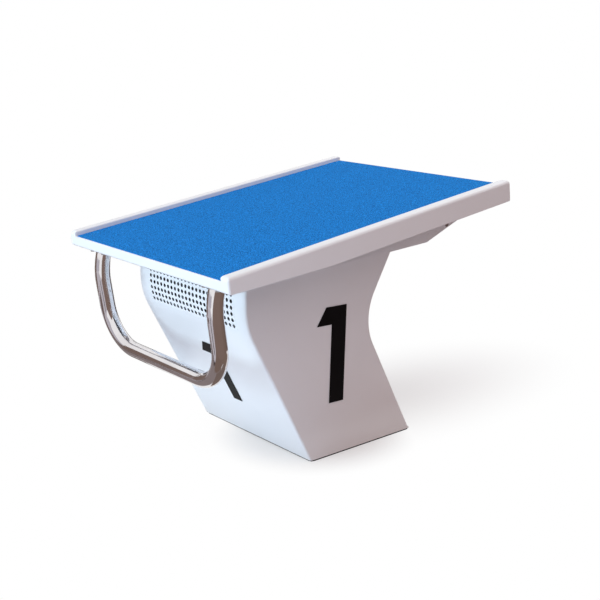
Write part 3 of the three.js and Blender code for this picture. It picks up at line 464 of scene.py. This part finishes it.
u_bump.inputs['Distance'].default_value = 0.0002
u_links.new(u_in.outputs['Relief Height'], u_bump.inputs['Strength'])
u_links.new(u_relief.outputs['Fac'], u_bump.inputs['Height'])
u_links.new(u_tint.outputs['Result'], u_out.inputs['Colour'])
u_links.new(u_gloss.outputs['Result'], u_out.inputs['Roughness'])
u_links.new(u_bump.outputs['Normal'], u_out.inputs['Normal'])


def uneven_finish(name, light, dark, drift, relief, gloss, height, metallic=0.0):
    """A finish that wears the uneven surface, with values of its own."""
    finish, shader = new_finish(name, light, gloss[0], metallic)
    surface = finish.node_tree.nodes.new('ShaderNodeGroup')
    surface.node_tree = uneven
    surface.inputs['Light Colour'].default_value = (*light, 1)
    surface.inputs['Dark Colour'].default_value = (*dark, 1)
    surface.inputs['Drift Size'].default_value = drift
    surface.inputs['Relief Size'].default_value = relief
    surface.inputs['Gloss Low'].default_value = gloss[0]
    surface.inputs['Gloss High'].default_value = gloss[1]
    surface.inputs['Relief Height'].default_value = height
    links = finish.node_tree.links
    links.new(surface.outputs['Colour'], shader.inputs['Base Color'])
    links.new(surface.outputs['Roughness'], shader.inputs['Roughness'])
    links.new(surface.outputs['Normal'], shader.inputs['Normal'])
    return finish, shader


gelcoat, gelcoat_shader = uneven_finish(
    'white_gelcoat', (0.86, 0.87, 0.875), (0.835, 0.845, 0.85), 6, 90, (0.30, 0.38), 0.25)
gelcoat_shader.inputs['Coat Weight'].default_value = 0.35
gelcoat_shader.inputs['Coat Roughness'].default_value = 0.18
give_finish(tray, gelcoat)

# Anti-slip mat. A blue sheet with a fine mineral grit bonded over it, cut to the recess with
# rounded corners and glued down. Its face lies just above the lips at the deck's front and rear.
mat_gap = 0.0003
mat_half_width = rim_inside - mat_gap
mat_ends = lip_width + mat_gap
mat_foot = -0.0035
mat_corner_round, mat_edge_round = 0.004, 0.0008
bpy.ops.object.select_all(action='DESELECT')
bpy.ops.mesh.primitive_cube_add(
    size=1, location=(0, deck_length / 2, mat_foot / 2),
    scale=(2 * mat_half_width, deck_length - 2 * mat_ends, -mat_foot))
mat = start_piece('grit_mat')
bpy.ops.mesh.select_all(action='DESELECT')
bpy.ops.mesh.select_mode(type='EDGE')
mesh = bmesh.from_edit_mesh(mat.data)
for edge in mesh.edges:
    edge.select_set(abs(edge.verts[0].co.z - edge.verts[1].co.z) > -mat_foot / 2)
bmesh.update_edit_mesh(mat.data)
bpy.ops.mesh.bevel(offset=mat_corner_round, segments=4, affect='EDGES')
pick_edges(mat, lambda place: place.z > -hair)
bpy.ops.mesh.bevel(offset=mat_edge_round, segments=3, affect='EDGES')
bpy.ops.object.mode_set(mode='OBJECT')
smooth(mat)
lay_on_deck(mat)
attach(mat, 'root')
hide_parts('anti_slip_mat')

grit, grit_shader = new_finish('blue_grit', (0.010, 0.17, 0.52), 0.9)
grit_shader.inputs['Specular IOR Level'].default_value = 0.1
g_nodes, g_links = grit.node_tree.nodes, grit.node_tree.links
grit_place = g_nodes.new('ShaderNodeTexCoord')
grit_grains = g_nodes.new('ShaderNodeTexVoronoi')
grit_grains.inputs['Scale'].default_value = 420
g_links.new(grit_place.outputs['Object'], grit_grains.inputs['Vector'])
grit_clumps = g_nodes.new('ShaderNodeTexNoise')
grit_clumps.inputs['Scale'].default_value = 480
grit_clumps.inputs['Detail'].default_value = 2
g_links.new(grit_place.outputs['Object'], grit_clumps.inputs['Vector'])
grit_tone = g_nodes.new('ShaderNodeValToRGB')
grit_tone.color_ramp.elements[0].position = 0.36
grit_tone.color_ramp.elements[0].color = (0.0030, 0.094, 0.33, 1)
grit_tone.color_ramp.elements[1].position = 0.66
grit_tone.color_ramp.elements[1].color = (0.020, 0.345, 0.94, 1)
g_links.new(grit_clumps.outputs['Fac'], grit_tone.inputs['Fac'])
g_links.new(grit_tone.outputs['Color'], grit_shader.inputs['Base Color'])
grit_height = g_nodes.new('ShaderNodeMath')
grit_height.operation = 'SUBTRACT'
g_links.new(grit_clumps.outputs['Fac'], grit_height.inputs[0])
g_links.new(grit_grains.outputs['Distance'], grit_height.inputs[1])
grit_bump = g_nodes.new('ShaderNodeBump')
grit_bump.inputs['Strength'].default_value = 0.8
grit_bump.inputs['Distance'].default_value = 0.0012
g_links.new(grit_height.outputs['Value'], grit_bump.inputs['Height'])
g_links.new(grit_bump.outputs['Normal'], grit_shader.inputs['Normal'])
give_finish(mat, grit)

# Pedestal shell. A white fibreglass chevron, moulded in one piece with rounded upright edges,
# flanged inwards at its foot and its top, with a rebate in its front for the grille.
shell_half_width = 0.1985
foot_front, foot_rear = -0.15375, 0.15375
front_reach = -0.329
front_lean, front_round = radians(27.35), 0.160
rear_lean, rear_top_lean, waist_round = radians(27.8), radians(29.6), 0.126
waist_height = 0.2963
shell_foot, shell_wall, shell_flange = 0.0033, 0.005, 0.030
shell_corner_round, corner_fold, corner_climb = 0.0055, radians(60), 0.2
rebate_depth, rebate_ledge, frontward = 0.0023, 0.0045, -0.6
toe_height, toe_reach, toe_flare = 0.008, 0.0035, 1.8
seat_gap = 0.0003
cradle_edge_height, cradle_depth, top_slope = 0.4366, 0.0060, radians(3.1)
top_middle = cradle_edge_height + cradle_depth - seat_gap
bend_vertex = (foot_front - front_reach) / tan(front_lean)
bend_top = bend_vertex + front_round * tan(front_lean / 2)
bend_foot = bend_top - front_round * sin(front_lean)
waist_y = foot_rear - waist_height * tan(rear_lean)
waist_run = waist_round * tan((rear_lean + rear_top_lean) / 2)
waist_foot = (waist_y + waist_run * sin(rear_lean), waist_height - waist_run * cos(rear_lean))
waist_centre = (waist_foot[0] + waist_round * cos(rear_lean),
                waist_foot[1] + waist_round * sin(rear_lean))
waist_top_height = waist_height + waist_run * cos(rear_top_lean)


def front_at(height):
    """How far forward the shell's front face stands at a height."""
    if height >= bend_top:
        return front_reach
    if height <= bend_foot:
        return foot_front - height * tan(front_lean)
    return front_reach + front_round - sqrt(front_round ** 2 - (bend_top - height) ** 2)


def rear_at(height):
    """How far back the shell's rear face stands at a height, with the small toe at its foot."""
    if height >= waist_top_height:
        return waist_y + (height - waist_height) * tan(rear_top_lean)
    if height >= waist_foot[1]:
        return waist_centre[0] - sqrt(waist_round ** 2 - (height - waist_centre[1]) ** 2)
    toe = max(1 - (height - shell_foot) / toe_height, 0)
    return foot_rear - height * tan(rear_lean) + toe_reach * toe ** toe_flare


# The grille's opening runs round the bend, from above the top row of holes to below the last
hole_pitch, hole_rows, hole_columns = 0.01363, 6, 23
grille_margin, grille_clearance, top_row_depth = 0.009, 0.0006, 0.0204
top_row_run = bend_top - (cradle_edge_height + front_reach * tan(top_slope)) + top_row_depth
row_runs = [top_row_run + row * hole_pitch for row in range(hole_rows)]
grille_half = (hole_columns - 1) / 2 * hole_pitch + grille_margin


def height_at_run(run):
    """The height of a point on the front face, by its distance down from where the bend starts."""
    return bend_top - run if run < 0 else bend_top - front_round * sin(run / front_round)


opening_top = height_at_run(row_runs[0] - grille_margin - grille_clearance)
opening_foot = height_at_run(row_runs[-1] + grille_margin + grille_clearance)
toe_shares = (0.2, 0.4, 0.6, 0.8, 1)
plain_levels, first_bend_level, bend_step, bend_steps = (0.10, 0.18, 0.42, 0.47), 0.242, 0.006, 23
least_step = 0.0007
levels = sorted({shell_foot, bend_foot, bend_top, waist_foot[1], waist_top_height,
                 opening_foot, opening_top, *plain_levels,
                 *(shell_foot + toe_height * share for share in toe_shares),
                 *(first_bend_level + bend_step * step for step in range(bend_steps))})
levels = [level for level, after in zip(levels, levels[1:] + [1]) if after - level > least_step]
bpy.ops.object.select_all(action='DESELECT')
bpy.ops.mesh.primitive_plane_add(
    size=1, location=(0, (front_at(levels[0]) + rear_at(levels[0])) / 2, levels[0]))
shell = bpy.context.object
shell.scale = (2 * shell_half_width, rear_at(levels[0]) - front_at(levels[0]), 1)
start_piece('pedestal_moulding')
for below, level in zip(levels, levels[1:]):
    was, now = ((front_at(height) + rear_at(height)) / 2 for height in (below, level))
    stretch = (rear_at(level) - front_at(level)) / (rear_at(below) - front_at(below))
    bpy.ops.mesh.extrude_region_move(TRANSFORM_OT_translate={"value": (0, now - was, level - below)})
    bpy.ops.transform.resize(value=(1, stretch, 1), center_override=(0, now, level))
bpy.ops.mesh.select_all(action='DESELECT')
bpy.ops.mesh.select_mode(type='EDGE')
bpy.ops.mesh.select_non_manifold()
bpy.ops.mesh.edge_face_add()
bpy.ops.mesh.select_all(action='SELECT')
bpy.ops.mesh.normals_make_consistent(inside=False)
bpy.ops.mesh.bisect(plane_co=(0, 0, top_middle), plane_no=(0, -sin(top_slope), cos(top_slope)),
                    use_fill=True, clear_outer=True)
mesh = bmesh.from_edit_mesh(shell.data)
bpy.ops.mesh.select_all(action='DESELECT')
bpy.ops.mesh.select_mode(type='EDGE')
for edge in mesh.edges:
    along = edge.verts[1].co - edge.verts[0].co
    edge.select_set(abs(along.x) < hair and abs(along.z) > corner_climb * abs(along.y)
                    and abs(edge.calc_face_angle(0)) > corner_fold)
bmesh.update_edit_mesh(shell.data)
bpy.ops.mesh.bevel(offset=shell_corner_round, segments=5, affect='EDGES', clamp_overlap=False)
cut_across((grille_half + grille_clearance, 0, 0), (1, 0, 0))
cut_across((-grille_half - grille_clearance, 0, 0), (1, 0, 0))
pick_faces(shell, lambda middle, normal: normal.y < frontward and abs(middle.x) < grille_half
           and opening_foot < middle.z < opening_top)
bpy.ops.mesh.extrude_region_shrink_fatten(TRANSFORM_OT_shrink_fatten={"value": -rebate_depth})
bpy.ops.mesh.inset(thickness=rebate_ledge, depth=0)
bpy.ops.mesh.delete(type='FACE')
flange_reach = shell_wall + shell_flange
for low, high, front, rear in ((0, shell_foot + hair, foot_front, foot_rear),
                               (opening_top, 2 * top_middle, front_reach, rear_at(top_middle))):
    def level_ends(middle, normal):
        return low < middle.z < high and abs(normal.z) > squarely

    for place, across in (((shell_half_width - flange_reach, 0, 0), (1, 0, 0)),
                          ((flange_reach - shell_half_width, 0, 0), (1, 0, 0)),
                          ((0, front + flange_reach, 0), (0, 1, 0)),
                          ((0, rear - flange_reach, 0), (0, 1, 0))):
        pick_faces(shell, level_ends)
        bpy.ops.mesh.bisect(plane_co=place, plane_no=across)
    pick_faces(shell, lambda middle, normal: level_ends(middle, normal)
               and abs(middle.x) < shell_half_width - flange_reach
               and front + flange_reach < middle.y < rear - flange_reach)
    bpy.ops.mesh.delete(type='FACE')
bpy.ops.object.mode_set(mode='OBJECT')
give_finish(shell, gelcoat)
# The shell's inside wears a near-black finish that stands in for the shade within the pedestal, and
# the rims of the grille's holes wear it too, so that the holes read dark: painted shade.
painted_shade_finish = uneven_finish('painted_shade_inside', (0.045, 0.045, 0.052), (0.032, 0.032, 0.038), 10,
                             260, (0.6, 0.8), 0.8)[0]
shell.data.materials.append(painted_shade_finish)
apply_modifier(shell, 'SOLIDIFY', thickness=shell_wall, offset=-1, use_even_offset=False,
               material_offset=1)
smooth(shell, 32)
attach(shell, 'root')
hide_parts('pedestal_shell')

# Grille panel. A white metal sheet, punched with rows of round holes and rolled to the bend of the
# shell's front. It lies in the shell's rebate with its face flush.
hole_radius, grille_sheet = 0.0042, 0.002
grille_lap, end_reach = 0.0004, 0.0012
bpy.ops.object.select_all(action='DESELECT')
bpy.ops.mesh.primitive_plane_add(size=hole_pitch, location=(0, 0, 0))
hole_row = start_piece('grille_sheet')
bpy.ops.mesh.subdivide(number_cuts=3)
pick_points(hole_row, lambda place: max(abs(place.x), abs(place.y)) < hole_pitch / 2 - hair)
bpy.ops.mesh.delete(type='VERT')
bpy.ops.mesh.primitive_circle_add(vertices=16, radius=hole_radius, fill_type='NOTHING',
                                  location=(0, 0, 0))
bpy.ops.mesh.select_all(action='SELECT')
bpy.ops.mesh.select_mode(type='EDGE')
bpy.ops.mesh.bridge_edge_loops()
bpy.ops.mesh.select_all(action='SELECT')
bpy.ops.transform.translate(value=(-(hole_columns - 1) / 2 * hole_pitch, 0, 0))
bpy.ops.object.mode_set(mode='OBJECT')
apply_modifier(hole_row, 'ARRAY', count=hole_columns, use_relative_offset=False,
               use_constant_offset=True, constant_offset_displace=(hole_pitch, 0, 0),
               use_merge_vertices=True, merge_threshold=hair)
grille_rows = [hole_row]
for _ in row_runs[1:]:
    next_row = hole_row.copy()
    next_row.data = hole_row.data.copy()
    scene.collection.objects.link(next_row)
    grille_rows.append(next_row)
for row, run in zip(grille_rows, row_runs):
    tilt = max(run, 0) / front_round
    row.location = (0, front_at(height_at_run(run)), height_at_run(run))
    row.rotation_euler = (pi / 2 + tilt, 0, 0)
    row.select_set(True)
bpy.context.view_layer.objects.active = hole_row
bpy.ops.object.transform_apply(location=True, rotation=True, scale=True)
bpy.ops.object.join()
grille = bpy.context.object
bpy.ops.object.mode_set(mode='EDIT')
bpy.ops.mesh.select_all(action='SELECT')
bpy.ops.mesh.remove_doubles(threshold=5 * hair)
side_strip = grille_margin - hole_pitch / 2
whole_strip = side_strip + grille_lap
for side in (-1, 1):
    pick_edges(grille, lambda place: abs(place.x - side * (grille_half - side_strip)) < hair)
    bpy.ops.mesh.extrude_region_move(TRANSFORM_OT_translate={"value": (side * whole_strip, 0, 0)})
for run, way in ((row_runs[0] - hole_pitch / 2, 1), (row_runs[-1] + hole_pitch / 2, -1)):
    tilt = max(run, 0) / front_round
    pick_edges(grille, lambda place: abs(place.z - height_at_run(run)) < end_reach)
    bpy.ops.mesh.extrude_region_move(TRANSFORM_OT_translate={
        "value": (0, -way * whole_strip * sin(tilt), way * whole_strip * cos(tilt))})
bpy.ops.mesh.select_all(action='SELECT')
bpy.ops.mesh.normals_make_consistent(inside=False)
bpy.ops.object.mode_set(mode='OBJECT')
if grille.data.polygons[0].normal.y > 0:
    grille.data.flip_normals()
powder_coat = uneven_finish('white_powder_coat', (0.84, 0.85, 0.855), (0.81, 0.82, 0.825), 9,
                            520, (0.42, 0.52), 0.35)[0]
give_finish(grille, powder_coat)
grille.data.materials.append(painted_shade_finish)
apply_modifier(grille, 'SOLIDIFY', thickness=grille_sheet, offset=-1, material_offset_rim=1)
# The rims inside the holes keep the near-black painted shade, and the sheet's own four edges get the
# white finish
grille_heights = [corner.co.z for corner in grille.data.vertices]
grille_low, grille_high = min(grille_heights), max(grille_heights)
side_edge, end_edge = 0.0005, 0.0015
for face in grille.data.polygons:
    if (abs(face.center.x) > grille_half - side_edge or face.center.z > grille_high - end_edge
            or face.center.z < grille_low + end_edge):
        face.material_index = 0
bpy.ops.object.shade_smooth_by_angle(angle=radians(25))
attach(grille, 'root')
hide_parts('grille_panel')

# Grab bar. One length of stainless tube, bent twice at the bottom and once at each shoulder,
# and polished to a mirror. Swimmers hang from it at a backstroke start.
bar_round, bar_wall = 0.01685, 0.002
leg_spread_share = 0.7159
leg_x = deck_half_width * leg_spread_share
bar_y, bar_height = -0.3930, 0.2277
leg_lean = radians(8.0)
bar_bend = 0.0905
shoulder_height, shoulder_round, shoulder_lean = 0.3695, 0.167, radians(17.26)
stub_length = 0.030
core_thickness, plate_thickness = 0.012, 0.006
leg_up = Vector((0, -sin(leg_lean), cos(leg_lean)))
leg_back = Vector((0, cos(leg_lean), sin(leg_lean)))
bpy.ops.object.select_all(action='DESELECT')
bpy.ops.mesh.primitive_circle_add(vertices=40, radius=bar_round, fill_type='NOTHING',
                                  location=(0, bar_y, bar_height), rotation=(0, pi / 2, 0))
bar = start_piece('grab_tube')
bpy.ops.mesh.extrude_region_move(TRANSFORM_OT_translate={"value": (leg_x - bar_bend, 0, 0)})
bend_centre = Vector((leg_x - bar_bend, bar_y, bar_height)) + leg_up * bar_bend
bpy.ops.mesh.spin(steps=18, angle=pi / 2, center=bend_centre, axis=leg_back)
leg_foot = Vector((leg_x, bar_y, bar_height))
leg_start = leg_foot + leg_up * bar_bend
shoulder_foot = leg_foot + leg_up * (shoulder_height - bar_height) / cos(leg_lean)
bpy.ops.mesh.extrude_region_move(TRANSFORM_OT_translate={"value": shoulder_foot - leg_start})
shoulder_centre = shoulder_foot + leg_back * shoulder_round
bpy.ops.mesh.spin(steps=12, angle=leg_lean + shoulder_lean, center=shoulder_centre, axis=(1, 0, 0))
stub_up = Vector((0, sin(shoulder_lean), cos(shoulder_lean)))
bpy.ops.mesh.extrude_region_move(TRANSFORM_OT_translate={"value": stub_up * stub_length})
bpy.ops.object.mode_set(mode='OBJECT')
apply_modifier(bar, 'MIRROR', use_axis=(True, False, False), use_mirror_merge=True,
               merge_threshold=hair)
bpy.ops.object.mode_set(mode='EDIT')
plate_underside = skin_underside - seat_gap - core_thickness - seat_gap - plate_thickness
plate_normal = Vector((0, -sin(deck_slope), cos(deck_slope)))
bpy.ops.mesh.select_all(action='SELECT')
bpy.ops.mesh.bisect(plane_co=deck_place + plate_normal * (plate_underside - seat_gap),
                    plane_no=plate_normal, clear_outer=True)
bpy.ops.mesh.select_all(action='SELECT')
bpy.ops.mesh.normals_make_consistent(inside=False)
bpy.ops.object.mode_set(mode='OBJECT')
apply_modifier(bar, 'SOLIDIFY', thickness=bar_wall, offset=-1)
bpy.ops.object.shade_smooth_by_angle(angle=radians(40))
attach(bar, 'root')
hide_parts('grab_bar')
mirror_steel = uneven_finish('mirror_steel', (0.82, 0.80, 0.815), (0.74, 0.715, 0.725), 14, 30,
                             (0.07, 0.12), 0.05, metallic=1.0)[0]
give_finish(bar, mirror_steel)

# Weld beads. One runs round each end of the bar where it meets its plate. It is left as welded,
# rippled and a little browner than the tube, and follows the slanted cut of the tube's end.
def copy_across(piece, name):
    """The same piece on the block's left side, with a mesh of its own."""
    other = piece.copy()
    other.name = name
    other.data = piece.data.copy()
    other.data.name = name
    scene.collection.objects.link(other)
    for corner in other.data.vertices:
        corner.co.x = -corner.co.x
    other.data.flip_normals()
    return other


bar_end = [corner.co.copy() for corner in bar.data.vertices if corner.co.x > 0
           and (corner.co - deck_place).dot(plate_normal) > plate_underside - seat_gap - hair]
bar_end_middle = sum(bar_end, Vector()) / len(bar_end)
bar_end_reach = max(abs(corner.y - bar_end_middle.y) for corner in bar_end) / cos(deck_slope)
bead_round, bead_clear = 0.0022, 0.001
bpy.ops.object.select_all(action='DESELECT')
bpy.ops.mesh.primitive_torus_add(major_segments=48, minor_segments=10,
                                 major_radius=bar_round + bead_clear, minor_radius=bead_round)
bead = start_piece('weld_bead_right')
bpy.ops.transform.resize(value=(1, (bar_end_reach + bead_clear) / (bar_round + bead_clear), 1))
bpy.ops.object.mode_set(mode='OBJECT')
bead.rotation_euler = (deck_slope, 0, 0)
bead.location = bar_end_middle - plate_normal * bead_round
bpy.ops.object.transform_apply(location=True, rotation=True, scale=True)
bpy.ops.object.shade_smooth()
weld_steel = uneven_finish('weld_steel', (0.60, 0.57, 0.53), (0.42, 0.39, 0.37), 160, 420,
                           (0.3, 0.45), 1.0, metallic=1.0)[0]
give_finish(bead, weld_steel)
for piece in (bead, copy_across(bead, 'weld_bead_left')):
    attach(piece, 'root')

# Bungs. A rubber blanking plug, greyed by the sun and the pool's water, closes the sight hole near
# the rear of each cradle cheek. Its head has a shallow dish.
sight_hole_round, cheek_outside, cheek_wall = 0.0045, 0.2028, 0.004
bung_y, bung_height = 0.2528, 0.4805
bung_fit, bung_tail = 0.0002, 0.0015
head_share, head_thickness, bung_edge_round = 1.3, 0.0008, 0.0003
crown_in, crown_rise, dish_in, dish_drop = 0.0012, 0.0005, 0.0018, 0.0007
bpy.ops.object.select_all(action='DESELECT')
bpy.ops.mesh.primitive_circle_add(vertices=24, radius=sight_hole_round - bung_fit, fill_type='NGON')
bung = start_piece('sight_hole_bung_right')
bpy.ops.mesh.extrude_region_move(TRANSFORM_OT_translate={"value": (0, 0, cheek_wall + bung_tail)})
bpy.ops.mesh.extrude_region_move(TRANSFORM_OT_translate={"value": (0, 0, 0)})
bpy.ops.transform.resize(value=(head_share, head_share, 1))
bpy.ops.mesh.extrude_region_move(TRANSFORM_OT_translate={"value": (0, 0, head_thickness)})
bpy.ops.mesh.inset(thickness=crown_in, depth=crown_rise)
bpy.ops.mesh.inset(thickness=dish_in, depth=-dish_drop)
bpy.ops.mesh.select_all(action='SELECT')
bpy.ops.mesh.normals_make_consistent(inside=False)
bpy.ops.object.mode_set(mode='OBJECT')
apply_modifier(bung, 'BEVEL', limit_method='ANGLE', width=bung_edge_round, segments=2)
bung.rotation_euler = (0, pi / 2, 0)
bung.location = (cheek_outside - cheek_wall - bung_tail, bung_y, bung_height)
bpy.ops.object.transform_apply(location=True, rotation=True, scale=True)
smooth(bung)
greyed_rubber = uneven_finish('greyed_rubber', (0.28, 0.22, 0.195), (0.23, 0.18, 0.16), 30, 700,
                              (0.75, 0.9), 0.5)[0]
give_finish(bung, greyed_rubber)
for piece in (bung, copy_across(bung, 'sight_hole_bung_left')):
    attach(piece, 'root')

# Plain pieces. The solids that aren't modelled again, such as the cradle, the numbers, the seal and
# the bolts, wear the finish that goes with the material slot the record gives them.
vinyl, vinyl_shader = uneven_finish('black_vinyl', (0.0045, 0.0040, 0.0045), (0.007, 0.0062, 0.007),
                                    12, 300, (0.42, 0.5), 0.15)
vinyl_shader.inputs['Specular IOR Level'].default_value = 0.06
plain_finishes = {
    'white_paint': powder_coat,
    'core_board': uneven_finish('sealed_board', (0.70, 0.70, 0.67), (0.62, 0.62, 0.59), 22, 260,
                                (0.6, 0.75), 0.5)[0],
    'polished_steel': mirror_steel,
    'fastener_steel': uneven_finish('plain_stainless', (0.55, 0.55, 0.54), (0.47, 0.47, 0.465), 60,
                                    500, (0.28, 0.42), 0.2, metallic=1.0)[0],
    'galvanised_steel': uneven_finish('galvanised', (0.52, 0.54, 0.55), (0.38, 0.40, 0.41), 45,
                                      160, (0.45, 0.6), 0.3, metallic=1.0)[0],
    'black_rubber': uneven_finish('black_rubber', (0.018, 0.018, 0.019), (0.028, 0.028, 0.03), 30,
                                  700, (0.75, 0.9), 0.5)[0],
    'black_vinyl': vinyl,
    'gelcoat': gelcoat,
    'blue_mat': grit,
}
for part in frame["record"]["subparts"]:
    give_finish(frame["nodes"][part["node"]], plain_finishes[part["material_slot"]])
